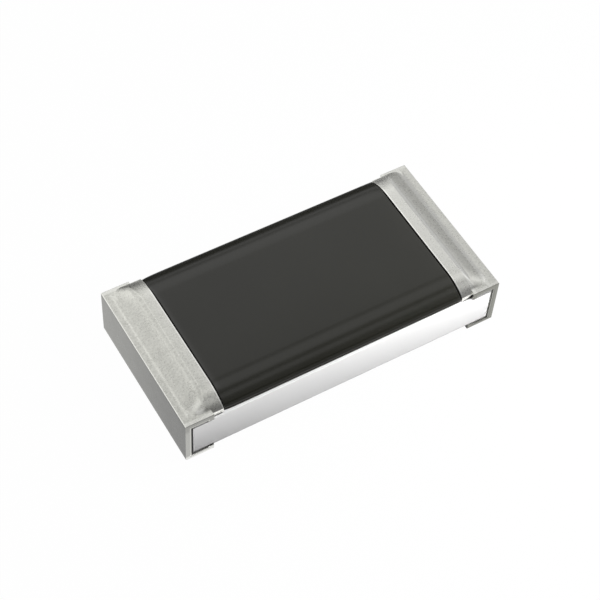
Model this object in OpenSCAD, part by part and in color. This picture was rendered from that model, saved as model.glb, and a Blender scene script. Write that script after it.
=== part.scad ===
// Thick-film chip resistor in the 3.2 x 1.6 mm case, drawn layer by layer.
// Millimetres, +X along the chip, +Z up, origin under its centre at the level of the solder pads.
// Each end is a stack of three skins, so one shape is grown outwards: it is asked for by its depth
// under the finished tin, and a skin is what lies between two depths.

/* [Ceramic] */
// Length over both plated ends
chip_l = 3.2; // [2.8:0.05:4.5]
// Width across the plated ends
chip_w = 1.6; // [1.3:0.05:2.5]
// Thickness of the bare slab
ceramic_t = 0.4; // [0.3:0.01:0.6]
// How far each bare side of the slab stands in from the tin
ceramic_inset = 0.008; // [0.004:0.001:0.02]
// Bevel on the slab's long edges and upright corners, left by snapping
ceramic_bevel = 0.006; // [0.004:0.001:0.02]

/* [Terminal layers] */
// Printed silver film of the top and bottom electrodes
silver_t = 0.004; // [0.003:0.001:0.02]
// Dark conductive layer round the end
paste_t = 0.015; // [0.008:0.001:0.025]
// Nickel barrier
nickel_t = 0.014; // [0.008:0.001:0.025]
// Tin plating
tin_t = 0.04; // [0.02:0.001:0.05]
// Thickness of these three layers under the chip, as a share of that on its end and top
sole_share = 0.74; // [0.6:0.02:1]
// How far the nickel's cut edge stands in from the tin's
nickel_inset = 0.002; // [0:0.001:0.008]
// How far the conductive layer's cut edge stands in from the tin's
paste_inset = 0.014; // [0.004:0.001:0.02]
// Rounding of the tin along the two long edges of each end face
end_edge_r = 0.008; // [0.004:0.001:0.03]

/* [Terminal shape] */
// Length of the full-width legs over the top and under the chip
leg_l = 0.275; // [0.2:0.001:0.36]
// Flat lip from the end face to the foot of the ramp
lip_l = 0.075; // [0.07:0.005:0.2]
// Run of the ramp up the end of the coat
ramp_l = 0.175; // [0.1:0.005:0.25]
// Length of the rounding at the ramp's foot and at its top
ramp_blend_l = 0.04; // [0.02:0.005:0.06]
// Flat crest from the ramp to the tin's inner edge
crest_l = 0.132; // [0.08:0.002:0.25]
// Height of the crest above the lip
crest_rise = 0.07; // [0.05:0.002:0.1]
// Height that the right skirt of the tin is cut up beside the leg, running out at its inner edge
skirt_cut_h = 0.05; // [0.01:0.002:0.06]
// The same height at the left skirt, which comes down closer to the slab
left_skirt_cut_h = 0.02; // [0.01:0.002:0.06]

/* [Coat] */
// How far the far foot of the coat stands in from the side of the tin
coat_inset = 0.021; // [0.018:0.001:0.08]
// The same at the near foot, where more of the ceramic shows because the print sits a little off centre
near_coat_inset = 0.036; // [0.018:0.001:0.08]
// Height of the steep wall along the coat's long edges
coat_wall_h = 0.075; // [0.05:0.002:0.09]
// How far the far wall leans in over its height
coat_wall_lean = 0.004; // [0.004:0.001:0.02]
// How far the near wall leans in
near_wall_lean = 0.016; // [0.004:0.002:0.04]
// Width of the far round shoulder from the wall to the flat top
shoulder_w = 0.27; // [0.16:0.01:0.4]
// Depth of the resin's surface under the tin's crest
resin_drop = 0.004; // [0.002:0.001:0.012]
// Groove between the resin and the tin's inner edge
resin_gap = 0.012; // [0.006:0.001:0.03]

/* [Resistor] */
// Thickness of the resistive film
film_t = 0.01; // [0.006:0.001:0.02]
// Width of the resistive film
film_w = 1.2; // [0.6:0.05:1.25]
// Width of the electrodes where they pass under the film
tongue_w = 1.3; // [0.7:0.05:1.34]
// Reach of each electrode in from the end of the ceramic
tongue_l = 0.6; // [0.45:0.01:0.8]
// Length of film lying on each electrode
film_overlap = 0.12; // [0.05:0.01:0.2]
// Width of the laser trim cut
trim_w = 0.035; // [0.02:0.005:0.06]
// How far inside the top of the glass's near wall the trim cut starts
trim_lead = 0.012; // [0.004:0.002:0.03]
// Depth of the trim cut in from the film's edge
trim_depth = 0.4; // [0.1:0.02:0.5]
// Length of the trim cut's second stroke, along the film
trim_run = 0.45; // [0.1:0.02:0.5]
// Distance of the trim cut from the chip's middle
trim_x = -0.3; // [-0.35:0.01:0.1]

/* [Hidden] */
// Straight facets in each rounded edge, blend and shoulder
ARC_STEPS = 8;
// Overshoot of a cutting shape past what it cuts
CUT = 1;

wrap_t = paste_t + nickel_t + tin_t;
sole_t = wrap_t * sole_share;
nickel_depth = tin_t;
paste_depth = tin_t + nickel_t;

ceramic_l = chip_l - 2 * wrap_t;
ceramic_w = chip_w - 2 * ceramic_inset;
silver_w = ceramic_w - 2 * ceramic_bevel;
ceramic_bottom = silver_t + sole_t;
ceramic_top = ceramic_bottom + ceramic_t;
silver_top = ceramic_top + silver_t;
lip_top = silver_top + wrap_t;
crest_top = lip_top + crest_rise;

ramp_slope = crest_rise / ramp_l;
ramp_angle = atan(ramp_slope);
ramp_end = lip_l + ramp_l;
cap_l = ramp_end + crest_l;
resin_l = chip_l - 2 * (cap_l + resin_gap);

coat_foot = chip_w / 2 - coat_inset;
near_foot = chip_w / 2 - near_coat_inset;
coat_flat_w = coat_foot - coat_wall_lean - shoulder_w;
shoulder_h = crest_top - ceramic_top - coat_wall_h;

film_l = ceramic_l - 2 * (tongue_l - film_overlap);
near_glass_foot = near_foot - wrap_t;

// Places a shape drawn from an end face inwards, along +X from 0, at the chip's left or right end
module at_left() {
    translate([-chip_l / 2, 0, 0])
        children();
}

module at_right() {
    mirror([1, 0, 0])
        at_left()
            children();
}

// Extrudes an outline in X and Z over a width in Y, centred on the chip
module across(width) {
    rotate([90, 0, 0])
        linear_extrude(width, center = true)
            children();
}

// Extrudes an outline in Y and Z along +X from 0
module along(length) {
    rotate([90, 0, 90])
        linear_extrude(length)
            children();
}

// A box given by its corners, centred in Y
module slab(x0, x1, width, z0, z1) {
    translate([x0, -width / 2, z0])
        cube([x1 - x0, width, z1 - z0]);
}

// One side of the coat's section at a depth under the crest: up from the foot, a wall and an arc
function coat_side(depth, foot, lean) =
    let (
        width = foot - lean - coat_flat_w,
        radius = (pow(width, 2) + pow(shoulder_h, 2)) / (2 * shoulder_h),
        shoulder = [
            for (i = [0 : ARC_STEPS])
                let (y = (width - depth) * (1 - i / ARC_STEPS))
                [coat_flat_w + y, crest_top - radius + sqrt(pow(radius - depth, 2) - pow(y, 2))]
        ]
    )
    concat([[foot - depth, ceramic_top]], shoulder);

// Section of the coat at a depth under the crest, with its near side mirrored to -Y
module coat_section(depth) {
    far = coat_side(depth, coat_foot, coat_wall_lean);
    near = coat_side(depth, near_foot, near_wall_lean);
    mirrored = [for (i = [len(near) - 1 : -1 : 0]) [-near[i][0], near[i][1]]];
    polygon(concat(far, mirrored));
}

// Climb of a terminal at a depth under the tin: lip, ramp with a parabola at each end of it, crest.
// Shifting the line by the depth, and by the depth over the half angle, keeps the skins even.
module climb_outline(depth, length) {
    shift = depth * tan(ramp_angle / 2);
    blend = ramp_slope / (2 * ramp_blend_l);
    foot_x = lip_l - ramp_blend_l / 2;
    foot = [
        for (i = [0 : ARC_STEPS])
            let (run = ramp_blend_l * i / ARC_STEPS)
            [shift + foot_x + run, lip_top - depth + blend * pow(run, 2)]
    ];
    top = [
        for (i = [ARC_STEPS : -1 : 0])
            let (run = ramp_blend_l * i / ARC_STEPS)
            [shift + ramp_end + ramp_blend_l / 2 - run, crest_top - depth - blend * pow(run, 2)]
    ];
    floor_points = [[length, ceramic_top], [shift + foot_x, ceramic_top]];
    polygon(concat(foot, top, [[length, crest_top - depth]], floor_points));
}

// The end of the coat at a depth under the tin, out to a length from the end face
module coat_end(depth, length) {
    intersection() {
        translate([depth, 0, 0])
            along(length - depth)
                coat_section(depth);
        across(chip_w)
            climb_outline(depth, length);
    }
}

// Outline of the full-width leg block at a depth, less under the chip, with its two outer corners rounded
module leg_outline(depth) {
    r = max(end_edge_r - depth, 0);
    sole_z = depth * sole_share;
    low = [depth + r, sole_z + r];
    high = [depth + r, lip_top - depth - r];
    turn = r > 0 ? [0 : 90 / ARC_STEPS : 90] : [0];
    bottom_corner = [for (a = turn) low - r * [sin(a), cos(a)]];
    top_corner = [for (a = turn) high + r * [-cos(a), sin(a)]];
    inner = [[leg_l - depth, lip_top - depth], [leg_l - depth, sole_z]];
    polygon(concat(bottom_corner, top_corner, inner));
}

// Skin of a terminal between two depths, over a width, bare of the slab and open along the skirt cut
module terminal_skin(outer, inner, width, cut_h) {
    difference() {
        union() {
            across(width)
                leg_outline(outer);
            coat_end(outer, cap_l);
        }
        across(chip_w + CUT)
            leg_outline(inner);
        coat_end(inner, cap_l + CUT);
        slab(wrap_t, cap_l + CUT, chip_w + CUT, ceramic_bottom, ceramic_top);
        across(chip_w + CUT)
            polygon([[leg_l, ceramic_top], [cap_l, ceramic_top], [leg_l, ceramic_top + cut_h]]);
    }
}

// Laser trim cut: from just inside the glass's near side in past the film's edge, then along the film
module trim_cut(z0, z1) {
    start = trim_lead + near_wall_lean - near_glass_foot;
    end = trim_depth - film_w / 2;
    translate([trim_x, start, z0])
        cube([trim_w, end - start, z1 - z0]);
    translate([trim_x, end - trim_w, z0])
        cube([trim_run, trim_w, z1 - z0]);
}

// The glass before the films under it are taken out
module glass_body() {
    intersection() {
        at_left()
            coat_end(wrap_t, chip_l - wrap_t);
        at_right()
            coat_end(wrap_t, chip_l - wrap_t);
    }
}

module ceramic_substrate() {
    y = ceramic_w / 2;
    x = ceramic_l / 2;
    b = ceramic_bevel;
    side = [
        [y - b, ceramic_bottom], [y, ceramic_bottom + b],
        [y, ceramic_top - b], [y - b, ceramic_top],
    ];
    mirrored = [for (i = [len(side) - 1 : -1 : 0]) [-side[i][0], side[i][1]]];
    plan = [
        [x - b, -y], [x, b - y], [x, y - b], [x - b, y],
        [b - x, y], [-x, y - b], [-x, b - y], [b - x, -y],
    ];
    color("white")
        intersection() {
            translate([-x, 0, 0])
                along(ceramic_l)
                    polygon(concat(side, mirrored));
            linear_extrude(ceramic_top)
                polygon(plan);
        }
}

// Silver film on the top face: full width under the leg, then a narrower tongue to the resistive film
module top_electrode() {
    color("silver") {
        slab(wrap_t, leg_l - wrap_t, silver_w, ceramic_top, silver_top);
        slab(wrap_t, wrap_t + tongue_l, tongue_w, ceramic_top, silver_top);
    }
}

module top_electrode_left() {
    at_left()
        top_electrode();
}

module top_electrode_right() {
    at_right()
        top_electrode();
}

// Silver film on the underside, as long as the leg that covers it
module bottom_electrode() {
    color("silver")
        slab(wrap_t, leg_l - wrap_t, silver_w, sole_t, ceramic_bottom);
}

module bottom_electrode_left() {
    at_left()
        bottom_electrode();
}

module bottom_electrode_right() {
    at_right()
        bottom_electrode();
}

// Resistive film: on the ceramic, with both ends stepped up on to the electrodes
module resistive_film() {
    bridge_x = film_l / 2 - film_overlap;
    half = [
        [bridge_x, ceramic_top], [bridge_x, silver_top], [film_l / 2, silver_top],
        [film_l / 2, silver_top + film_t], [bridge_x - film_t, silver_top + film_t],
        [bridge_x - film_t, ceramic_top + film_t],
    ];
    mirrored = [for (i = [len(half) - 1 : -1 : 0]) [-half[i][0], half[i][1]]];
    color("dimgray")
        difference() {
            across(film_w)
                polygon(concat(half, mirrored));
            trim_cut(ceramic_top, crest_top);
        }
}

// Glass over the film, with a ramp at each end and the trim cut through it
module glass_coat() {
    color("darkslategray")
        difference() {
            glass_body();
            top_electrode_left();
            top_electrode_right();
            resistive_film();
            trim_cut(ceramic_top, crest_top);
        }
}

// Black resin between the terminals: it arches over the glass, down to the ceramic, and fills the trim cut
module resin_overcoat() {
    color("dimgray")
        difference() {
            translate([-resin_l / 2, 0, 0])
                along(resin_l)
                    coat_section(resin_drop);
            glass_coat();
            top_electrode_left();
            top_electrode_right();
            resistive_film();
        }
}

module end_electrode(cut_h) {
    color("slategray")
        terminal_skin(paste_depth, wrap_t, chip_w - 2 * paste_inset, cut_h);
}

module end_electrode_left() {
    at_left()
        end_electrode(left_skirt_cut_h);
}

module end_electrode_right() {
    at_right()
        end_electrode(skirt_cut_h);
}

module nickel_barrier(cut_h) {
    color("darkgray")
        terminal_skin(nickel_depth, paste_depth, chip_w - 2 * nickel_inset, cut_h);
}

module nickel_barrier_left() {
    at_left()
        nickel_barrier(left_skirt_cut_h);
}

module nickel_barrier_right() {
    at_right()
        nickel_barrier(skirt_cut_h);
}

module tin_plating(cut_h) {
    color("lightgray")
        terminal_skin(0, nickel_depth, chip_w, cut_h);
}

module tin_plating_left() {
    at_left()
        tin_plating(left_skirt_cut_h);
}

module tin_plating_right() {
    at_right()
        tin_plating(skirt_cut_h);
}

ceramic_substrate();
top_electrode_left();
top_electrode_right();
bottom_electrode_left();
bottom_electrode_right();
resistive_film();
glass_coat();
resin_overcoat();
end_electrode_left();
end_electrode_right();
nickel_barrier_left();
nickel_barrier_right();
tin_plating_left();
tin_plating_right();
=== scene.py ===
import bpy
import numpy as np
from mathutils import Matrix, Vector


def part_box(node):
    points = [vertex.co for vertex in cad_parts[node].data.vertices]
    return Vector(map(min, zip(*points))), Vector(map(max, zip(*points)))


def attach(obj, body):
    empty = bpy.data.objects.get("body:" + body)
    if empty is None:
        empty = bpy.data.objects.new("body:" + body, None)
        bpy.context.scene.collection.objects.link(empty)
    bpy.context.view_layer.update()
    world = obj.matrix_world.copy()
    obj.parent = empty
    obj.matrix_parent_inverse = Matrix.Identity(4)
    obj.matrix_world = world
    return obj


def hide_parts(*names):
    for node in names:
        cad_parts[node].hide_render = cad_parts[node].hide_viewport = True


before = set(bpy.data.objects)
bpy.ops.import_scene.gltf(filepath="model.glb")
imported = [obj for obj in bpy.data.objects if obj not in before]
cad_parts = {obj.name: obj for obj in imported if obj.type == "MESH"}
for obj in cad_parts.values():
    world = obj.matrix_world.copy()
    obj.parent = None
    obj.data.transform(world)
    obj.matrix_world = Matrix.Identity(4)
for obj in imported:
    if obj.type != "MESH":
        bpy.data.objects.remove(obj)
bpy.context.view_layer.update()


# Ceramic slab: a chip of white alumina, snapped out of a fired and scored plate.
# Every other layer is printed, dipped or plated on it. Its long sides stay bare, and its edges are eased.
MM = 0.001
slab_low, slab_high = (np.array(corner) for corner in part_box("ceramic_substrate"))
tin_low, tin_high = (np.array(corner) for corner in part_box("tin_plating_left"))
SNAP_R = 0.006 * MM
CORNER_R = 0.008 * MM
FLAT_IN = 0.012 * MM
EASE_STEPS = 6
SHARP_ANGLE = 35
LEG_L = 0.275 * MM
ALUMINA = (0.90, 0.897, 0.893, 1.0)
# The next three tones are painted shade: the sides drawn darker towards the bottom, darker at each end and
# most at the left.
ALUMINA_SIDE_SHADE = (0.66, 0.658, 0.656, 1.0)
ALUMINA_SIDE_SHADE_LEFT = (0.52, 0.519, 0.517, 1.0)
ALUMINA_SIDE_SHADE_RIGHT = (0.62, 0.618, 0.616, 1.0)
# A painted contact shadow along the bottom edge of the sides.
ALUMINA_BOTTOM_SHADE = (0.20, 0.20, 0.20, 1.0)
# A grey band of painted shade along the top of the sides, under the overhanging legs.
ALUMINA_LEG_SHADE = (0.27, 0.27, 0.262, 1.0)
# Near black painted shade for the crevices by the terminals.
ALUMINA_CREVICE_SHADE = (0.04, 0.04, 0.04, 1.0)
ALUMINA_GRAIN = 90.0
ALUMINA_CLOUD = 3.0
CLOUD_SHARE = 0.3
GRAIN_SHADE = 0.06
ALUMINA_ROUGH = (0.35, 0.55)
ALUMINA_RELIEF = 0.0006 * MM
# How far up the sides the painted contact shadow reaches, as a share of the height.
BOTTOM_SHADE_SHARE = (0.012, 0.026)

# Where the tones of the slab lie, in millimetres as a material reads a place.
# Where the painted shade of the sides turns darker towards each end.
SIDE_SHADE_LEFT_X = (-1.55, -0.6)
SIDE_SHADE_RIGHT_X = (0.6, 1.5)
LEG_END = (-tin_low[0] - LEG_L) / MM
LEG_FADE = 0.004
# Height of the painted shade band under the legs, its fade, and how much higher it reaches towards the
# right.
LEG_SHADE_H = 0.013
LEG_SHADE_FADE = 0.003
LEG_SHADE_MORE_RIGHT = 0.008
LEG_SHADE_MORE_X = (0.0, 1.0)
# Where the painted crevice shade lies: its height at the left foot, its span at the left end, and under the
# skirts.
CREVICE_SHADE_H = 0.016
CREVICE_SHADE_END = (0.008, 0.005)
SKIRT_INNER = (0.10, 0.09)
SKIRT_FOOT_Y = (0.772, 0.778)
TOP_FADE = 0.001


def eased(corners, ease):
    """A line through corners, as points, with each inner corner eased by a parabola.

    The parabola starts and ends at the ease's distance from its corner, and bends towards it.
    """
    corners, ease = np.array(corners), np.array(ease)[:, None]
    back, ahead = corners[:-2] - corners[1:-1], corners[2:] - corners[1:-1]
    start = corners[1:-1] + ease * back / np.linalg.norm(back, axis=1, keepdims=True)
    end = corners[1:-1] + ease * ahead / np.linalg.norm(ahead, axis=1, keepdims=True)
    share = np.linspace(0, 1, EASE_STEPS + 1)[:, None]
    bends = (1 - share) ** 2 * start[:, None] + 2 * share * (1 - share) * corners[1:-1, None]
    bends = bends + share ** 2 * end[:, None]
    return np.concatenate([corners[:1], bends.reshape(-1, 2), corners[-1:]])


def snapped_slab(low, high):
    """A profile carried round a rounded rectangle.

    The outline is the slab's plan with quarter circles at its corners. Each ring of the profile moves that
    outline in by an inset and up to a height: an eased edge at the bottom, the upright side and an eased
    edge at the top. The first and last ring are closed by one face each.
    """
    corners = [(FLAT_IN, low[2]), (0, low[2]), (0, high[2]), (FLAT_IN, high[2])]
    inset, height = eased(corners, (SNAP_R, SNAP_R)).T
    turn = np.linspace(0, np.pi / 2, EASE_STEPS + 1)
    angle = (np.arange(4)[:, None] * np.pi / 2 + turn).ravel()
    centre = (low[:2] + high[:2]) / 2
    reach = (high[:2] - low[:2]) / 2 - CORNER_R
    sign_x = np.repeat([1, -1, -1, 1], EASE_STEPS + 1)
    sign_y = np.repeat([1, 1, -1, -1], EASE_STEPS + 1)
    bend = CORNER_R - inset[:, None]
    x = centre[0] + sign_x * reach[0] + bend * np.cos(angle)
    y = centre[1] + sign_y * reach[1] + bend * np.sin(angle)
    z = np.broadcast_to(height[:, None], x.shape)
    rings, around = x.shape
    index = np.arange(rings * around).reshape(rings, around)
    after = np.roll(index, -1, axis=1)
    quads = np.stack([index[:-1], after[:-1], after[1:], index[1:]], axis=-1).reshape(-1, 4)
    caps = [index[0][::-1].tolist(), index[-1].tolist()]
    return np.stack([x, y, z], axis=-1).reshape(-1, 3), quads.tolist() + caps


def add_piece(name, points, faces, finish, slot, node):
    """Makes a mesh of points and faces, in metres in the part's own frame, that stands for a node."""
    mesh = bpy.data.meshes.new(name)
    mesh.from_pydata(points, [], faces)
    mesh.shade_smooth()
    mesh.set_sharp_from_angle(angle=np.radians(SHARP_ANGLE))
    mesh.materials.append(finish)
    piece = bpy.data.objects.new(name, mesh)
    bpy.context.scene.collection.objects.link(piece)
    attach(piece, "root")
    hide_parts(node)


class Shade:
    """Wraps one socket of a material, so that its maths reads as plain expressions."""

    def __init__(self, tree, socket):
        self.tree = tree
        self.socket = socket

    def node(self, kind, settings=None, sockets=None, output=0):
        """Adds a node of a kind: its settings come first, then the values or links of its sockets."""
        made = self.tree.nodes.new(kind)
        for name, value in (settings or {}).items():
            setattr(made, name, value)
        for name, value in (sockets or {}).items():
            if isinstance(value, Shade):
                self.tree.links.new(value.socket, made.inputs[name])
            else:
                made.inputs[name].default_value = value
        return Shade(self.tree, made.outputs[output])

    def maths(self, operation, first, second=0.0):
        """The result of a Math node on one or two values."""
        return self.node("ShaderNodeMath", {"operation": operation}, {0: first, 1: second})

    def __add__(self, other):
        return self.maths("ADD", self, other)

    def __radd__(self, other):
        return self.maths("ADD", other, self)

    def __sub__(self, other):
        return self.maths("SUBTRACT", self, other)

    def __rsub__(self, other):
        return self.maths("SUBTRACT", other, self)

    def __mul__(self, other):
        return self.maths("MULTIPLY", self, other)

    def __rmul__(self, other):
        return self.maths("MULTIPLY", other, self)

    def __truediv__(self, other):
        return self.maths("DIVIDE", self, other)

    def __abs__(self):
        return self.maths("ABSOLUTE", self)

    def scaled(self, factors):
        """A place with each of its three numbers times a factor."""
        return self.node("ShaderNodeVectorMath", {"operation": "MULTIPLY"}, {0: self, 1: factors})

    def noise(self, scale, detail=2.0, rough=0.5):
        """Soft noise from 0 to 1 at this place, with so many waves to a millimetre."""
        sockets = {"Vector": self, "Scale": scale, "Detail": detail, "Roughness": rough}
        return self.node("ShaderNodeTexNoise", {}, sockets, "Fac")

    def step(self, low, high):
        """0 below low, 1 above high, and a smooth rise between them."""
        sockets = {"Value": self, "From Min": low, "From Max": high}
        return self.node("ShaderNodeMapRange", {"interpolation_type": "SMOOTHSTEP"}, sockets)

    def under(self, low, high):
        """1 below low, 0 above high, and a smooth fall between them."""
        return 1.0 - self.step(low, high)

    def band(self, rise, fall):
        """1 between two spans, with a smooth rise over the first and a smooth fall over the second."""
        return self.step(*rise) * self.under(*fall)

    def most(self, *others):
        """The greatest of this value and the others."""
        greatest = self
        for other in others:
            greatest = self.maths("MAXIMUM", greatest, other)
        return greatest

    def between(self, low, high):
        """The number low where this is 0, and high where it is 1."""
        return self * (high - low) + low

    def with_share(self, other, share):
        """This value with a share of another mixed in."""
        return self * (1.0 - share) + other * share

    def mix(self, low, high):
        """The colour low where this is 0, and high where it is 1."""
        sockets = {"Factor": self, 6: low, 7: high}
        return self.node("ShaderNodeMix", {"data_type": "RGBA"}, sockets, 2)

    def axis(self, name):
        """One of the three numbers X, Y and Z of a place."""
        return self.node("ShaderNodeSeparateXYZ", {}, {"Vector": self}, name)

    def bump(self, distance):
        """Normals that follow this as a height, where 1 stands for a distance in metres."""
        return self.node("ShaderNodeBump", {}, {"Height": self, "Strength": 1.0, "Distance": distance})

    def to(self, shader, socket):
        """Links this to a socket of a shader."""
        self.tree.links.new(self.socket, shader.inputs[socket])


def new_finish(name):
    """A material, its shader, and the place on the piece in millimetres."""
    finish = bpy.data.materials.new(name)
    finish.use_nodes = True
    tree = finish.node_tree
    shader = tree.nodes["Principled BSDF"]
    metres = Shade(tree, tree.nodes.new("ShaderNodeTexCoord").outputs["Object"])
    return finish, shader, metres.scaled((1 / MM, 1 / MM, 1 / MM))


def alumina():
    """Fired white ceramic: fine crystal grain in its colour, its gloss and its surface.

    Its sides carry painted shade: a painted contact shadow along the bottom edge, and paler up to the top
    face from a shaded tone that changes towards each end. A grey band of painted shade lies along the top
    edge under the legs. Painted crevice shade darkens the left foot, the left end and the top face under the
    skirts.
    """
    finish, shader, place = new_finish("fired_alumina")
    grain = place.noise(ALUMINA_GRAIN, detail=3.0, rough=0.6)
    cloud = place.noise(ALUMINA_CLOUD)
    along, across, height = place.axis("X"), place.axis("Y"), place.axis("Z")
    end, bottom, top = slab_high[0] / MM, slab_low[2] / MM, slab_high[2] / MM
    up = (height - bottom) / (top - bottom)
    mottle = (grain.with_share(cloud, CLOUD_SHARE) - 0.5) * GRAIN_SHADE
    # Painted shade: the sides darken from the top face downwards, with a darker tone at each end and the
    # darkest at the left.
    low = along.step(*SIDE_SHADE_LEFT_X).mix(ALUMINA_SIDE_SHADE_LEFT, ALUMINA_SIDE_SHADE)
    low = along.step(*SIDE_SHADE_RIGHT_X).mix(low, ALUMINA_SIDE_SHADE_RIGHT)
    # A painted contact shadow darkens the bottom edge of the sides.
    colour = up.step(*BOTTOM_SHADE_SHARE).mix(ALUMINA_BOTTOM_SHADE, (up + mottle).mix(low, ALUMINA))

    # Painted shade along the top of the sides, under the legs.
    beside_legs = abs(along).step(LEG_END - LEG_FADE, LEG_END)
    more = along.step(*LEG_SHADE_MORE_X) * LEG_SHADE_MORE_RIGHT
    shade_under_legs = beside_legs * (height + more).step(top - LEG_SHADE_H - LEG_SHADE_FADE, top - LEG_SHADE_H)
    colour = shade_under_legs.mix(colour, ALUMINA_LEG_SHADE)

    # Painted shade in the crevices: at the left foot, at the left end, and on the top face under the skirts.
    left = -1.0 * along
    foot = bottom + CREVICE_SHADE_H
    left_foot = left.step(LEG_END - LEG_FADE, LEG_END) * height.under(foot, foot + LEG_FADE)
    left_end = left.step(end - CREVICE_SHADE_END[0], end - CREVICE_SHADE_END[1])
    under_skirt = abs(along).step(LEG_END - SKIRT_INNER[0], LEG_END - SKIRT_INNER[1])
    under_skirt = under_skirt * height.step(top - TOP_FADE, top) * abs(across).under(*SKIRT_FOOT_Y)
    crevice_shade = left_foot.most(left_end, under_skirt)
    crevice_shade.mix(colour, ALUMINA_CREVICE_SHADE).to(shader, "Base Color")
    grain.between(*ALUMINA_ROUGH).to(shader, "Roughness")
    grain.bump(ALUMINA_RELIEF).to(shader, "Normal")
    return finish


add_piece("alumina_slab", *snapped_slab(slab_low, slab_high), alumina(), "alumina", "ceramic_substrate")


# Electrodes: silver paste, screen printed on both faces of the slab at each end and fired.
# The tongues on the top face carry the resistive film. The plating hides all four.
SILVER = (0.82, 0.80, 0.76, 1.0)
SILVER_DULL = (0.62, 0.60, 0.57, 1.0)
SILVER_GRAIN = 60.0
SILVER_SPREAD = (0.35, 0.65)
SILVER_ROUGH = (0.30, 0.55)
SILVER_RELIEF = 0.001 * MM


def fired_silver():
    """Fired silver film: a grainy satin metal."""
    finish, shader, place = new_finish("fired_silver")
    grain = place.noise(SILVER_GRAIN, detail=3.0)
    grain.step(*SILVER_SPREAD).mix(SILVER_DULL, SILVER).to(shader, "Base Color")
    shader.inputs["Metallic"].default_value = 1.0
    grain.between(*SILVER_ROUGH).to(shader, "Roughness")
    grain.bump(SILVER_RELIEF).to(shader, "Normal")
    return finish


def dress(node, finish):
    """Gives a node that keeps its own shape a better finish."""
    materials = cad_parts[node].data.materials
    materials.clear()
    materials.append(finish)


ENDS = ("left", "right")
silver = fired_silver()
for end in ENDS:
    dress("top_electrode_" + end, silver)
    dress("bottom_electrode_" + end, silver)


# Resistive film and glass: a grey printed film between the electrodes, and the dark glass fired over it.
# A laser cut through both trims the value. Only the glass shows, deep in the groove beside the plating.
FILM = (0.05, 0.045, 0.045, 1.0)
FILM_PALE = (0.11, 0.10, 0.10, 1.0)
FILM_SPECKLE = 45.0
FILM_SPREAD = (0.4, 0.65)
FILM_ROUGH = (0.5, 0.7)
FILM_RELIEF = 0.001 * MM
GLASS = (0.010, 0.012, 0.012, 1.0)
GLASS_PALE = (0.022, 0.026, 0.026, 1.0)
GLASS_FLOW = 6.0
GLASS_ROUGH = (0.2, 0.3)
GLASS_RELIEF = 0.002 * MM


def resistive_film():
    """Fired resistive film: dull grey with a coarse speckle."""
    finish, shader, place = new_finish("resistive_film")
    speckle = place.noise(FILM_SPECKLE, detail=3.0)
    speckle.step(*FILM_SPREAD).mix(FILM, FILM_PALE).to(shader, "Base Color")
    speckle.between(*FILM_ROUGH).to(shader, "Roughness")
    speckle.bump(FILM_RELIEF).to(shader, "Normal")
    return finish


def fired_glass():
    """Dark fired glass: glossy, with a soft flow in its colour and surface."""
    finish, shader, place = new_finish("fired_glass")
    flow = place.noise(GLASS_FLOW)
    flow.mix(GLASS, GLASS_PALE).to(shader, "Base Color")
    flow.between(*GLASS_ROUGH).to(shader, "Roughness")
    flow.bump(GLASS_RELIEF).to(shader, "Normal")
    return finish


dress("resistive_film", resistive_film())
dress("glass_coat", fired_glass())


# Overcoat: black epoxy resin, screen printed over the glass between the two terminals and cured.
# It settles as a pillow with round shoulders and steep walls.
# Its ends sag into the groove by the plating.
resin_low, resin_high = (np.array(corner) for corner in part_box("resin_overcoat"))
CREST_TOP = tin_high[2]
GLASS_DEPTH = CREST_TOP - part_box("glass_coat")[1][2]
CERAMIC_TOP = slab_high[2]
RESIN_DROP = CREST_TOP - resin_high[2]
WALL_H = 0.075 * MM
NEAR_FOOT_OUT = 0.007 * MM
NEAR_SIDE = {"foot": RESIN_DROP - resin_low[1] + NEAR_FOOT_OUT, "upright": 0.032 * MM, "lean": 0.026 * MM}
FAR_SIDE = {"foot": RESIN_DROP + resin_high[1], "upright": 0.0, "lean": 0.004 * MM}
SHOULDER_W = 0.27 * MM
FLAT_W = FAR_SIDE["foot"] - FAR_SIDE["lean"] - SHOULDER_W
SHOULDER_H = CREST_TOP - CERAMIC_TOP - WALL_H
BROW_PAST = 0.03 * MM
BROW_BLEND = 0.008 * MM
LEAST_BLEND = 1e-12
WALL_STEPS = 16
SHOULDER_STEPS = 40
TOP_STEPS = 12
END_ROLL = 0.007 * MM
END_ROLL_STEPS = 6
FAR_REACH = 0.008 * MM
FAR_REACH_Y = (0.45 * MM, 0.65 * MM)
END_SAG = {"left": 0.008 * MM, "right": 0.002 * MM}
END_SAG_L = 0.05 * MM
RESIN_STATIONS = 96
RESIN = (0.0098, 0.0098, 0.0066, 1.0)
RESIN_PALE = (0.0118, 0.0118, 0.0084, 1.0)
RESIN_CLOUD = 1.4
RESIN_FILLER = 70.0
FILLER_SHARE = 0.3
RESIN_SPREAD = (0.3, 0.7)
RESIN_ROUGH = 0.14
ROUGH_MORE = 0.05
WALL_ROUGH = 0.7
MATT_FOOT_MM = (0.025, 0.035)
RESIN_RELIEF = 0.0001 * MM


def smooth_least(first, second, blend):
    """The lesser of two values, with the crease where they cross rounded over a blend."""
    blend = np.maximum(blend, LEAST_BLEND)
    share = np.clip(0.5 + 0.5 * (second - first) / blend, 0, 1)
    return second + (first - second) * share - blend * share * (1 - share)


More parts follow.
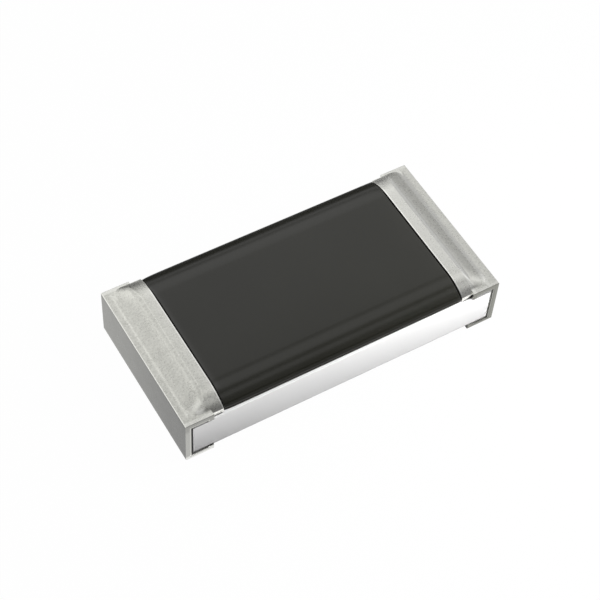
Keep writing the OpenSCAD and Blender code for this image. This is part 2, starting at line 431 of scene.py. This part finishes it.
def coat_half(depth, foot, upright, lean):
    """One side of the coat's section at a depth under the crest, from its foot to its middle, as Y and Z.

    The foot of the wall moves in by the depth. The wall stands upright for a stretch and then leans in as
    it rises. The shoulder is an arc about one centre for every depth, so its radius shrinks by the depth.
    It runs on past the wall, and the lesser width of the two is taken, with a blend that rounds the brow.
    The top is flat.
    """
    depth = np.asarray(depth, float)[..., None]
    width = foot - lean - FLAT_W
    radius = (width ** 2 + SHOULDER_H ** 2) / (2 * SHOULDER_H)
    arm = (width + BROW_PAST - depth) * np.linspace(1, 0, SHOULDER_STEPS + 1)
    arc_z = CREST_TOP - radius + np.sqrt((radius - depth) ** 2 - arm ** 2)
    wall_z = CERAMIC_TOP + (arc_z[..., :1] - CERAMIC_TOP) * np.linspace(0, 1, WALL_STEPS + 1)[:-1]
    past_z = np.concatenate([wall_z, arc_z], -1)
    past_y = FLAT_W + np.concatenate([arm[..., :1] + 0 * wall_z, arm], -1)
    wall_y = foot - depth - lean * np.maximum(past_z - CERAMIC_TOP - upright, 0) / (WALL_H - upright)
    top_y = FLAT_W * np.linspace(1, 0, TOP_STEPS + 1)[1:] + 0 * depth
    top_z = CREST_TOP - depth + 0 * top_y
    half_y = np.concatenate([smooth_least(past_y, wall_y, BROW_BLEND), top_y], -1)
    return half_y, np.concatenate([past_z, top_z], -1)


def both_sides(near, far):
    """A row of values from the near foot over the top to the far foot, out of those of its two halves."""
    return np.concatenate([near, far[..., -2::-1]], -1)


def grid_faces(index):
    """The four-cornered faces of a grid of point numbers, facing along its rows crossed with its columns."""
    return np.stack([index[:-1, :-1], index[1:, :-1], index[1:, 1:], index[:-1, 1:]], -1).reshape(-1, 4)


def closed_skin(outer, inner, faces):
    """Closes two sheets of like points, an outer and an inner one, to a skin.

    The inner sheet takes the same faces turned round. An edge that only one outer face uses is on the rim,
    and each such edge gets one face that joins it to the same edge of the inner sheet. Unused points go.
    """
    count = len(outer)
    start = faces.ravel()
    end = np.roll(faces, -1, axis=1).ravel()
    alone = ~np.isin(start * count + end, end * count + start)
    start, end = start[alone], end[alone]
    rim = np.stack([end, start, start + count, end + count], -1)
    every = np.concatenate([faces, faces[:, ::-1] + count, rim])
    used, place = np.unique(every, return_inverse=True)
    return np.concatenate([outer, inner])[used], place.reshape(-1, 4).tolist()


def resin_sheets(half_l):
    """The pillow's outer and inner sheet: the coat's section carried along X.

    Along the pillow the depth of the section stays at the resin's drop. Near an end it sags by a curve that
    fades out over the sag's length, and over the last stretch it turns down by a quarter circle. Towards the
    far side the pillow grows a little longer. The inner sheet is the section at the depth of the glass.
    """
    turn = np.linspace(0, np.pi / 2, END_ROLL_STEPS + 1)[1:]
    spread = np.sin(np.linspace(-np.pi / 2, np.pi / 2, RESIN_STATIONS))
    run = np.concatenate([spread * (half_l - END_ROLL), half_l - END_ROLL * (1 - np.sin(turn))])
    run = np.concatenate([-run[:RESIN_STATIONS - 1:-1], run])
    past = np.clip(np.abs(run) - (half_l - END_ROLL), 0, END_ROLL)
    roll = END_ROLL - np.sqrt(END_ROLL ** 2 - past ** 2)
    end_sag = np.where(run < 0, END_SAG["left"], END_SAG["right"])
    sag = end_sag * np.exp((np.abs(run) - half_l) / END_SAG_L)
    sheets = []
    for depth in (RESIN_DROP + roll + sag, GLASS_DEPTH + 0 * run):
        near_y, near_z = coat_half(depth, **NEAR_SIDE)
        far_y, far_z = coat_half(depth, **FAR_SIDE)
        y, z = both_sides(-near_y, far_y), both_sides(near_z, far_z)
        x = run[:, None] * (1 + FAR_REACH / half_l * np.interp(y, FAR_REACH_Y, (0, 1)))
        sheets.append(np.stack([x, y, z], -1).reshape(-1, 3))
    index = np.arange(y.size).reshape(y.shape)
    return *sheets, grid_faces(index)


def black_resin():
    """Cured black epoxy: a satin gloss with a faint cloud and a fine filler grain, and matt at its foot."""
    finish, shader, place = new_finish("black_epoxy")
    cloud = place.noise(RESIN_CLOUD)
    filler = place.noise(RESIN_FILLER)
    pale = cloud.with_share(filler, FILLER_SHARE).step(*RESIN_SPREAD)
    pale.mix(RESIN, RESIN_PALE).to(shader, "Base Color")
    foot = (place.axis("Z") - CERAMIC_TOP / MM).under(*MATT_FOOT_MM)
    ((cloud + filler) * ROUGH_MORE + RESIN_ROUGH + foot * WALL_ROUGH).to(shader, "Roughness")
    filler.bump(RESIN_RELIEF).to(shader, "Normal")
    return finish


resin_skin = closed_skin(*resin_sheets(resin_high[0]))
add_piece("resin_pillow", *resin_skin, black_resin(), "black_resin", "resin_overcoat")


# Conductive ends and nickel barrier: a silver-filled paste dipped round each end, then plated nickel.
# Both show only as cut edges beside the tin, in tones of painted light and shade: a line of painted crevice
# shade and a pale one at the left, two greys at the right.
CERAMIC_BOTTOM = slab_low[2]
# The paste is drawn in three tones by place, as painted light and shade; the near black at the left is
# painted crevice shade.
PASTE_SHADE_LEFT = (0.012, 0.012, 0.011, 1.0)
PASTE_RIGHT = (0.34, 0.34, 0.316, 1.0)
PASTE_SOLE = (0.16, 0.16, 0.155, 1.0)
PASTE_FLAKES = 80.0
PASTE_ROUGH = (0.75, 0.55)
PASTE_RELIEF = 0.001 * MM
# The nickel is drawn in three tones by place, as painted light and shade: paler at the left, palest at its
# sole, greyer at the right.
NICKEL_LEFT = (0.64, 0.64, 0.605, 1.0)
NICKEL_RIGHT = (0.38, 0.38, 0.355, 1.0)
NICKEL_SOLE = (0.95, 0.95, 0.91, 1.0)
NICKEL_DRAWN = (1.0, 0.2, 0.2)
NICKEL_STREAKS = 70.0
NICKEL_ROUGH = (0.3, 0.5)
NICKEL_RELIEF = 0.0005 * MM

# Where the left tones turn into the right ones along X, and the fade at the sole, in millimetres.
LEFT_TO_RIGHT = (-1.0, 1.0)
NICKEL_TURN = (-2.0, 2.0)
SOLE_FADE = 0.004


def left_sole(place):
    """1 on what lies under the slab at the left end, and 0 elsewhere."""
    bottom = CERAMIC_BOTTOM / MM
    return place.axis("X").under(*LEFT_TO_RIGHT) * place.axis("Z").under(bottom - SOLE_FADE, bottom)


def dipped_paste():
    """Cured conductive paste: dull, with flakes in its surface, and dark with painted shade at the left but
    for its sole.
    """
    finish, shader, place = new_finish("conductive_paste")
    flakes = place.noise(PASTE_FLAKES, detail=3.0)
    # The near black at the left is painted crevice shade; the sole and the right have lighter greys.
    colour = (place.axis("X") + flakes - 0.5).step(*LEFT_TO_RIGHT).mix(PASTE_SHADE_LEFT, PASTE_RIGHT)
    left_sole(place).mix(colour, PASTE_SOLE).to(shader, "Base Color")
    flakes.between(*PASTE_ROUGH).to(shader, "Roughness")
    flakes.bump(PASTE_RELIEF).to(shader, "Normal")
    return finish


def plated_nickel():
    """Plated nickel: a warm grey metal with long streaks, painted paler at the left and palest at its sole.
    """
    finish, shader, place = new_finish("plated_nickel")
    streaks = place.scaled(NICKEL_DRAWN).noise(NICKEL_STREAKS, detail=3.0)
    # Painted light and shade: the nickel's tone changes from the left to the right, and its sole is palest.
    colour = (place.axis("X") + streaks - 0.5).step(*NICKEL_TURN).mix(NICKEL_LEFT, NICKEL_RIGHT)
    left_sole(place).mix(colour, NICKEL_SOLE).to(shader, "Base Color")
    shader.inputs["Metallic"].default_value = 1.0
    streaks.between(*NICKEL_ROUGH).to(shader, "Roughness")
    streaks.bump(NICKEL_RELIEF).to(shader, "Normal")
    return finish


paste = dipped_paste()
nickel = plated_nickel()
for end in ENDS:
    dress("end_electrode_" + end, paste)
    dress("nickel_barrier_" + end, nickel)


# Tin plating: the matt tin skin over each end, plated last, which solder wets.
# It wraps under the chip and over its end, climbs the ramp of the coat and folds down over its shoulders.
nickel_low = np.array(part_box("nickel_barrier_left")[0])
TIN_T = nickel_low[0] - tin_low[0]
SOLE_SHARE = (nickel_low[2] - tin_low[2]) / TIN_T
HALF_W = tin_high[1]
CAP_L = tin_high[0] - tin_low[0]
CREST_RISE = 0.07 * MM
LIP_TOP = CREST_TOP - CREST_RISE
LIP_L = 0.075 * MM
RAMP_L = 0.175 * MM
RAMP_END = LIP_L + RAMP_L
RAMP_BLEND = 0.048 * MM
RAMP_SLOPE = CREST_RISE / RAMP_L
SKIRT_CUT = {"left": (0.005 * MM, 0), "right": (0.048 * MM, 2.4)}
SKIRT_UPRIGHT = 0.052 * MM
END_EDGE_R = 0.008 * MM
LEG_EDGE_R = 0.003 * MM
RIM_R = 0.005 * MM
LEAST_R = 0.001 * MM
JUST_PAST = LEAST_R / 5
MITRE_BLEND = 0.058 * MM
FOOT_BLEND = 0.008 * MM
CORNER_STEPS = 8
FACE_STEPS = 12
LIP_STEPS = 10
CLIMB_STEPS = 80
TIN = (0.86, 0.86, 0.80, 1.0)
TIN_DULL = (0.30, 0.30, 0.273, 1.0)
# The tone of the painted highlights on the tin.
TIN_HIGHLIGHT = (0.95, 0.95, 0.905, 1.0)
# Painted shade on the end faces: darkest at the near side, less dark at the far side.
TIN_END_SHADE_NEAR = (0.092, 0.092, 0.084, 1.0)
TIN_END_SHADE_FAR = (0.225, 0.225, 0.205, 1.0)
# Painted shadow on the inner ends of the legs.
TIN_LEG_END_SHADE = (0.04, 0.04, 0.037, 1.0)
# The cut sides are drawn in tones of painted light and shade: palest low at the left, darker on the left top
# bar, darkest at the right.
TIN_CUT_LEFT = (0.46, 0.46, 0.435, 1.0)
TIN_SOLE_LEFT = (0.80, 0.80, 0.77, 1.0)
TIN_BAR_LEFT = (0.35, 0.35, 0.33, 1.0)
TIN_CUT_RIGHT = (0.28, 0.28, 0.25, 1.0)
TIN_CRYSTALS = 60.0
TIN_CLOUD = 9.0
TIN_CLOUD_SHARE = 0.2
TIN_ROUGH = 0.20
CRYSTALS_ROUGH = 0.12
CLOUD_ROUGH = 0.06
TIN_RELIEF = 0.0007 * MM

# Where the tin carries painted highlights and painted shade, in millimetres as a material reads a place,
# and how strong each painted highlight is.
INNER_X = (-tin_low[0] - CAP_L) / MM
END_X = -tin_low[0] / MM
SIDE_Y = HALF_W / MM
LIP_Z = LIP_TOP / MM
NEAR_Y = (-0.2, 0.2)
OFF_LIP_Z = (LIP_Z + 0.001, LIP_Z + 0.005)
OVER_LIP_Z = (LIP_Z + 0.005, LIP_Z + 0.02)
RIM_X = (INNER_X + 0.0091, INNER_X + 0.013)
RIM_Y = (0.55, 0.68)
SKIRT_X = (INNER_X + 0.11, INNER_X + 0.115)
SKIRT_Z = (LIP_Z - 0.02, LIP_Z)
CREST_X = (INNER_X, INNER_X + 0.14)
CREST_HIGHLIGHT = 0.2
RIGHT_HIGHLIGHTS = {
    "crest": ((INNER_X - 1.0, INNER_X), (INNER_X + 0.125, INNER_X + 0.20), 0.4),
    "brow": ((1.32, 1.34), (1.345, 1.385), 0.75),
    "foot": ((1.465, 1.495), (1.51, 1.54), 0.45),
    "lip": ((1.50, 1.53), (END_X + 0.01, END_X + 0.02), 0.15),
}
SHOULDER_Y = ((0.60, 0.68), (0.69, 0.73))
SHOULDER_HIGHLIGHT = 0.2
MITRE_X = ((-1.48, -1.43), (-1.41, -1.35))
MITRE_Y = (0.68, 0.72)
MITRE_HIGHLIGHT = 0.75
SIDE_EDGE_Y = (0.755, 0.77)
SIDE_EDGE_HIGHLIGHT = 0.4
END_EDGE_Z = (LIP_Z - 0.006, LIP_Z - 0.003)
LEFT_EDGE_X = (-1.596, -1.590)
LEFT_EDGE_HIGHLIGHT = 0.6
END_FACE_X = (END_X - 0.004, END_X - 0.001)
END_FACE_Y = (-0.9, 0.9)
CUT_Y = (SIDE_Y - 0.006, SIDE_Y - 0.002)
CUT_SOLE_Z = (0.03, 0.06)
CUT_BAR_Z = (0.40, 0.47)
LEG_END_X = (LEG_END + 0.001, LEG_END + 0.004)
LEG_END_Z = (0.05, 0.06)


def turned(start, end, radius, steps):
    """Offsets from start to end by a quarter circle: how far along the one side, and along the other."""
    angle = np.linspace(start, end, steps + 1)
    return radius * np.cos(angle), radius * np.sin(angle)


def climb_height(along, depth):
    """Height of the climb over a place along the terminal, and its slope as a share of the ramp's.

    Lip and crest are flat. Between them the ramp runs straight, and a parabola joins it to each flat.
    """
    shift = depth * np.tan(np.arctan(RAMP_SLOPE) / 2)
    run = along - shift
    foot = np.clip((run - LIP_L + RAMP_BLEND / 2) / RAMP_BLEND, 0, 1)
    brow = np.clip((run - RAMP_END + RAMP_BLEND / 2) / RAMP_BLEND, 0, 1)
    straight = np.clip(run, LIP_L + RAMP_BLEND / 2, RAMP_END - RAMP_BLEND / 2) - LIP_L - RAMP_BLEND / 2
    rise = RAMP_BLEND * (foot ** 2 / 2 + brow - brow ** 2 / 2) + straight
    return LIP_TOP - depth + RAMP_SLOPE * rise, foot - brow


def cut_wall(half_y, half_z, foot_z):
    """A half of the coat's section for each row, with its wall cut off at that row's height."""
    foot_z = foot_z[:, None]
    wall_top = np.maximum(half_z[WALL_STEPS], foot_z + LEAST_R)
    wall_z = foot_z + (wall_top - foot_z) * np.linspace(0, 1, WALL_STEPS + 1)[:-1]
    wall_y = np.interp(wall_z, half_z[:WALL_STEPS + 1], half_y[:WALL_STEPS + 1])
    rest_z = np.maximum(half_z[WALL_STEPS:], foot_z + LEAST_R)
    rest_y = np.broadcast_to(half_y[WALL_STEPS:], rest_z.shape)
    return np.concatenate([wall_y, rest_y], 1), np.concatenate([wall_z, rest_z], 1)


def wrap_normals(u, z):
    """Unit normals of the wrap, pointing in from its outer side, along U and Z."""
    run, rise = np.gradient(u), np.gradient(z)
    length = np.hypot(run, rise)
    return rise / length, -run / length


def tin_sheet(skin_depth, rim, cut_h, cut_power):
    """One sheet of the plating at a depth under its finished surface, as points by rows and columns.

    Rows follow the wrap: down from the slab at the inner end of the leg, out along the underside, up the
    end face and in along the top. There the height is the lesser of the climb and the coat's section. Past
    the end of the leg its own columns turn down to the slab, and the columns of the coat run on to the inner
    edge, where the skirt is cut off at a height over the slab that falls inwards by a power. Columns go from
    the near side to the far side. Rims are rounded by letting the depth grow by a quarter circle. With the
    points come the number of rows in the wrap and of columns on a side.
    """
    lip = LIP_TOP - skin_depth
    sole_z = skin_depth * SOLE_SHARE
    rim_out, rim_down = turned(np.pi / 2, 0, rim, CORNER_STEPS)
    side_y = [np.concatenate([
        HALF_W - rim + rim_out[::-1], np.linspace(HALF_W - rim, shape["foot"] - skin_depth, LIP_STEPS)[1:],
    ]) for shape in (NEAR_SIDE, FAR_SIDE)]
    side_depth = np.concatenate([(rim - rim_down)[::-1], np.zeros(LIP_STEPS - 1)])

    end_r = max(END_EDGE_R - skin_depth, LEAST_R)
    leg_r = max(LEG_EDGE_R - skin_depth, LEAST_R)
    leg_end = LEG_L - skin_depth
    out, down = turned(0, np.pi / 2, 1.0, CORNER_STEPS)
    foot_u = np.full(FACE_STEPS, leg_end)
    foot_z = np.linspace(CERAMIC_BOTTOM, sole_z + leg_r, FACE_STEPS)
    sole_u = np.linspace(leg_end - leg_r, skin_depth + end_r, FACE_STEPS)
    face_z = np.linspace(sole_z + end_r, lip - end_r, FACE_STEPS)
    top_u = np.linspace(skin_depth + end_r, leg_end - leg_r, CLIMB_STEPS)
    wrap_u = np.concatenate([
        foot_u, leg_end - leg_r + leg_r * out[1:], sole_u[1:],
        skin_depth + end_r - end_r * down[1:], np.full(FACE_STEPS - 1, skin_depth),
        skin_depth + end_r - end_r * out[1:], top_u[1:],
    ])
    wrap_z = np.concatenate([
        foot_z, sole_z + leg_r - leg_r * down[1:], np.full(FACE_STEPS - 1, sole_z),
        sole_z + end_r - end_r * out[1:], face_z[1:],
        lip - end_r + end_r * down[1:], np.full(CLIMB_STEPS - 1, lip),
    ])
    on_top = np.arange(len(wrap_u)) >= len(wrap_u) - CLIMB_STEPS

    hang_u = np.concatenate([leg_end - leg_r + leg_r * down[1:], np.full(FACE_STEPS - 1, leg_end)])
    hang_z = np.linspace(lip - leg_r, CERAMIC_TOP, FACE_STEPS)
    hang_z = np.concatenate([lip - leg_r + leg_r * out[1:], hang_z[1:]])
    past_rows = len(hang_u)
    crest_u = np.linspace(leg_end - leg_r + JUST_PAST, CAP_L - rim, past_rows - CORNER_STEPS)
    rim_u = CAP_L - rim + rim * down[1:]
    coat_u = np.concatenate([wrap_u, crest_u, rim_u])
    rim_depth = np.concatenate([np.zeros(len(coat_u) - CORNER_STEPS), rim - rim * out[1:]])

    side_u = np.concatenate([wrap_u, hang_u])
    side_z = np.concatenate([wrap_z, hang_z])
    normal_u, normal_z = wrap_normals(side_u, side_z)
    side_x = side_u[:, None] + normal_u[:, None] * side_depth
    side_h = side_z[:, None] + normal_z[:, None] * side_depth
    near_w, far_w = (np.broadcast_to(width, side_x.shape) for width in side_y)

    climb, slope = climb_height(coat_u, skin_depth)
    on_climb = np.concatenate([on_top, np.ones(past_rows, bool)])
    past = coat_u > leg_end - leg_r + JUST_PAST / 2
    cut = np.clip((CAP_L - coat_u) / (CAP_L - LEG_L), 0, 1) ** cut_power * cut_h
    wall_foot = CERAMIC_TOP + np.where(past, cut, 0)
    halves = []
    for shape in ({**NEAR_SIDE, "upright": SKIRT_UPRIGHT}, FAR_SIDE):
        half_y, half_z = cut_wall(*coat_half(skin_depth, **shape), wall_foot)
        section = -smooth_least(-half_z, -np.where(past[:, None], 0, lip), FOOT_BLEND)
        height = smooth_least(climb[:, None], section, MITRE_BLEND * slope[:, None])
        height = np.maximum(height, np.where(past[:, None], 0, lip)) - rim_depth[:, None]
        halves.append((half_y, np.where(on_climb[:, None], height, side_z[:, None])))
    (near_y, near_h), (far_y, far_h) = halves
    coat_y, coat_h = both_sides(-near_y, far_y), both_sides(near_h, far_h)
    coat_x = np.broadcast_to(coat_u[:, None], coat_h.shape)

    strips = [
        (side_x, -near_w, side_h),
        (coat_x, coat_y, coat_h),
        (side_x[:, ::-1], far_w[:, ::-1], side_h[:, ::-1]),
    ]
    return np.stack([np.concatenate(part, 1) for part in zip(*strips)], -1), len(wrap_u), side_depth.size


def tin_faces(rows, columns, split, side):
    """Faces of a sheet. Up to the split row the leg's innermost columns are the coat's outermost ones."""
    index = np.arange(rows * columns).reshape(rows, columns)
    index[:split, side - 1] = index[:split, side]
    index[:split, columns - side] = index[:split, columns - side - 1]
    strips = [index[:, :side], index[:, side:columns - side], index[:, columns - side:]]
    return np.concatenate([grid_faces(strip) for strip in strips])


def matt_tin():
    """Matt tin: fine crystals that break up its sheen, with painted highlights and painted shade.

    Painted highlights are brightest on the inner rim and the skirts, and weaker on the crests, bands of the
    right ramp, the near shoulders, the left mitre and the edges. End faces, cut sides and ends of the legs
    have tones of their own, which are painted light and shade.
    """
    finish, shader, place = new_finish("matt_tin")
    crystals = place.noise(TIN_CRYSTALS, detail=3.0, rough=0.65)
    cloud = place.noise(TIN_CLOUD, detail=3.0)
    along, side, up = place.axis("X"), place.axis("Y"), place.axis("Z")
    reach, across, near = abs(along), abs(side), side.under(*NEAR_Y)
    over_lip, end_edge = up.step(*OVER_LIP_Z), up.step(*END_EDGE_Z)

    rim = reach.under(*RIM_X) * side.under(*RIM_Y)
    skirt = reach.under(*SKIRT_X) * up.under(*SKIRT_Z)
    crest = reach.under(*CREST_X) * CREST_HIGHLIGHT
    right_highlights = [along.band(rise, fall) * highlight for rise, fall, highlight in RIGHT_HIGHLIGHTS.values()]
    shoulder = across.band(*SHOULDER_Y) * near * over_lip * SHOULDER_HIGHLIGHT
    mitre = along.band(*MITRE_X) * across.step(*MITRE_Y) * near * up.step(*OFF_LIP_Z) * MITRE_HIGHLIGHT
    side_edge = across.step(*SIDE_EDGE_Y) * (1.0 - over_lip) * SIDE_EDGE_HIGHLIGHT
    left_edge = along.under(*LEFT_EDGE_X) * end_edge * LEFT_EDGE_HIGHLIGHT
    # Painted highlights: on the rim, the skirts, the crests, bands of the right ramp, the near shoulders,
    # the left mitre and the edges.
    painted_highlights = rim.most(skirt, crest, *right_highlights, shoulder, mitre, side_edge, left_edge)
    colour = crystals.with_share(cloud, TIN_CLOUD_SHARE).mix(TIN_DULL, TIN)
    colour = painted_highlights.mix(colour, TIN_HIGHLIGHT)

    # Painted shade on the end faces, darker towards the near side.
    end_face = reach.step(*END_FACE_X) * (1.0 - end_edge)
    colour = end_face.mix(colour, side.step(*END_FACE_Y).mix(TIN_END_SHADE_NEAR, TIN_END_SHADE_FAR))
    # Painted light and shade on the cut sides: palest low at the left, darker on its top bar, darkest at the
    # right.
    left_cut = up.step(*CUT_SOLE_Z).mix(TIN_SOLE_LEFT, TIN_CUT_LEFT)
    left_cut = up.step(*CUT_BAR_Z).mix(left_cut, TIN_BAR_LEFT)
    either_cut = along.step(*LEFT_TO_RIGHT).mix(left_cut, TIN_CUT_RIGHT)
    colour = across.step(*CUT_Y).mix(colour, either_cut)
    # Painted shadow on the inner ends of the legs.
    leg_end = reach.under(*LEG_END_X) * up.under(*LEG_END_Z)
    leg_end.mix(colour, TIN_LEG_END_SHADE).to(shader, "Base Color")

    shader.inputs["Metallic"].default_value = 1.0
    (crystals * CRYSTALS_ROUGH + cloud * CLOUD_ROUGH + TIN_ROUGH).to(shader, "Roughness")
    (crystals * (1.0 - skirt)).bump(TIN_RELIEF).to(shader, "Normal")
    return finish


tin = matt_tin()
for end, sign in zip(ENDS, (1, -1)):
    outer_sheet, split_row, side_columns = tin_sheet(0.0, RIM_R, *SKIRT_CUT[end])
    inner_sheet = tin_sheet(TIN_T, 0.0, *SKIRT_CUT[end])[0]
    sheet_faces = tin_faces(*outer_sheet.shape[:2], split_row, side_columns)
    mirror = np.array([sign, 1, 1])
    to_end = np.array([tin_low[0], 0, 0])
    sheets = [(sheet.reshape(-1, 3) + to_end) * mirror for sheet in (outer_sheet, inner_sheet)]
    skin = closed_skin(*sheets, sheet_faces[:, ::sign])
    add_piece("tin_wrap_" + end, *skin, tin, "tin", "tin_plating_" + end)


# Floor, light and camera: a plain pale table under level panels, with one softbox low at the near right.
# The sky gives the rest of the light, and is brighter on the right and at the far left.
# The camera stands where the picture was taken, by the object's own corners.
FLOOR_HALF = 150 * MM
FLOOR = (0.65, 0.65, 0.65, 1.0)
FLOOR_ROUGH = 0.8
WHITE = (1.0, 1.0, 1.0, 1.0)
SHOWN_WHITE = 0.985
MIRRORED_WHITE = 0.95


def pale_floor():
    """A pale floor that shows as white, in reflections too, with a trace of the object's shadow in it."""
    finish, shader, place = new_finish("pale_floor")
    shader.inputs["Base Color"].default_value = FLOOR
    shader.inputs["Roughness"].default_value = FLOOR_ROUGH
    rays = ("Is Camera Ray", "Is Glossy Ray", "Is Transmission Ray")
    seen, mirrored, through = (place.node("ShaderNodeLightPath", output=ray) for ray in rays)
    white = seen.most(mirrored * MIRRORED_WHITE, through) * SHOWN_WHITE
    glow = place.node("ShaderNodeEmission", {}, {"Color": WHITE, "Strength": 1.0})
    matte = Shade(finish.node_tree, shader.outputs["BSDF"])
    both = place.node("ShaderNodeMixShader", {}, {0: white, 1: matte, 2: glow})
    both.to(finish.node_tree.nodes["Material Output"], "Surface")
    return finish


floor_corners = [(x * FLOOR_HALF, y * FLOOR_HALF, 0.0) for x, y in ((-1, -1), (1, -1), (1, 1), (-1, 1))]
floor_mesh = bpy.data.meshes.new("floor")
floor_mesh.from_pydata(floor_corners, [], [(0, 1, 2, 3)])
floor_mesh.materials.append(pale_floor())
floor = bpy.data.objects.new("floor", floor_mesh)
bpy.context.scene.collection.objects.link(floor)


def stand(thing, right, up, back, place):
    """Puts a lamp or a camera into the scene, at a place and with its three axes."""
    axes = np.column_stack([right, up, back, place])
    thing.matrix_world = Matrix(np.vstack([axes, (0, 0, 0, 1)]).tolist())
    bpy.context.scene.collection.objects.link(thing)


def softbox(name, place, aim, size, radiance):
    """A rectangular area lamp of so much radiance, where 1 shows as white, aimed at a point."""
    lamp = bpy.data.lights.new(name, "AREA")
    lamp.shape = "RECTANGLE"
    lamp.size, lamp.size_y = size
    lamp.energy = radiance * np.pi * size[0] * size[1]
    box = bpy.data.objects.new(name, lamp)
    back = np.subtract(place, aim)
    back = back / np.linalg.norm(back)
    right = np.cross((0.0, 1.0, 0.0), back)
    right = right / np.linalg.norm(right)
    stand(box, right, np.cross(back, right), back, place)
    return box


def level_panel(name, x, edges, height, width, radiance):
    """A softbox that hangs level, from its near to its far edge, with its measures in millimetres."""
    y, depth = sum(edges) / 2, edges[1] - edges[0]
    softbox(name, (x * MM, y * MM, height * MM), (x * MM, y * MM, 0.0), (width * MM, depth * MM), radiance)


# Each panel: its middle along X, its near and far edge along Y, its height, its width and its radiance.
PANELS = {
    "overhead_panel_0": (0, (-12.2, -6.9), 30, 90, 0.62),
    "overhead_panel_1": (0, (-1.9, 9.3), 30, 90, 0.70),
    "overhead_panel_2": (0, (9.3, 15.8), 30, 90, 0.27),
    "overhead_panel_3": (0, (15.8, 22.0), 30, 90, 0.68),
    "overhead_panel_4": (0, (50.0, 64.0), 30, 90, 0.28),
    "overhead_panel_5": (0, (64.0, 86.0), 30, 90, 0.85),
    "far_panel": (-9.5, (22, 50), 30, 71, 0.90),
    "overhead_strip": (-1.6, (1, 79), 29, 8, 0.5),
}
for panel, measures in PANELS.items():
    level_panel(panel, *measures)

NEAR_BOX_PLACE = (4.6 * MM, -2.8 * MM, 3.8 * MM)
NEAR_BOX_AIM = (0.0, 0.0, 0.3 * MM)
NEAR_BOX_SIZE = (4 * MM, 2.5 * MM)
NEAR_BOX_RADIANCE = 15.8
near_box = softbox("near_softbox", NEAR_BOX_PLACE, NEAR_BOX_AIM, NEAR_BOX_SIZE, NEAR_BOX_RADIANCE)
near_box.visible_glossy = False

# The sky's tones, and the shares of a direction along X or Y over which they turn into each other.
SKY = (0.22, 0.22, 0.222, 1.0)
SKY_DIM = (0.05, 0.05, 0.051, 1.0)
SKY_LEFT = (1.1, 1.1, 1.1, 1.0)
SKY_RIGHT = (0.55, 0.55, 0.56, 1.0)
DIM_FROM = (0.7, 0.93)
RIGHT_FROM = (0.42, 0.62)
LEFT_FROM = (0.4, 0.8)
FAR_FROM = (0.0, 0.3)
world = bpy.data.worlds.new("studio")
bpy.context.scene.world = world
world.use_nodes = True
air = world.node_tree
direction = Shade(air, air.nodes.new("ShaderNodeTexCoord").outputs["Generated"])
sideways, away = direction.axis("X"), direction.axis("Y")
sky = abs(away).step(*DIM_FROM).mix(SKY, SKY_DIM)
sky = sideways.step(*RIGHT_FROM).mix(sky, SKY_RIGHT)
far_left = (-1.0 * sideways).step(*LEFT_FROM) * away.step(*FAR_FROM)
far_left.mix(sky, SKY_LEFT).to(air.nodes["Background"], "Color")

LENS_MM = 98.770
SENSOR_MM = 36.0
LENS_CLIP = (0.5 * MM, 1000 * MM)
CAMERA_PLACE = (-4.93358 * MM, -7.33101 * MM, 12.29449 * MM)
CAMERA_RIGHT = (0.862315, -0.504290, 0.045874)
CAMERA_UP = (0.382785, 0.708480, 0.592901)
lens = bpy.data.cameras.new("camera")
lens.lens = LENS_MM
lens.sensor_width = SENSOR_MM
lens.clip_start, lens.clip_end = LENS_CLIP
camera = bpy.data.objects.new("camera", lens)
stand(camera, CAMERA_RIGHT, CAMERA_UP, np.cross(CAMERA_RIGHT, CAMERA_UP), CAMERA_PLACE)
bpy.context.scene.camera = camera
bpy.context.scene.view_settings.view_transform = "Standard"
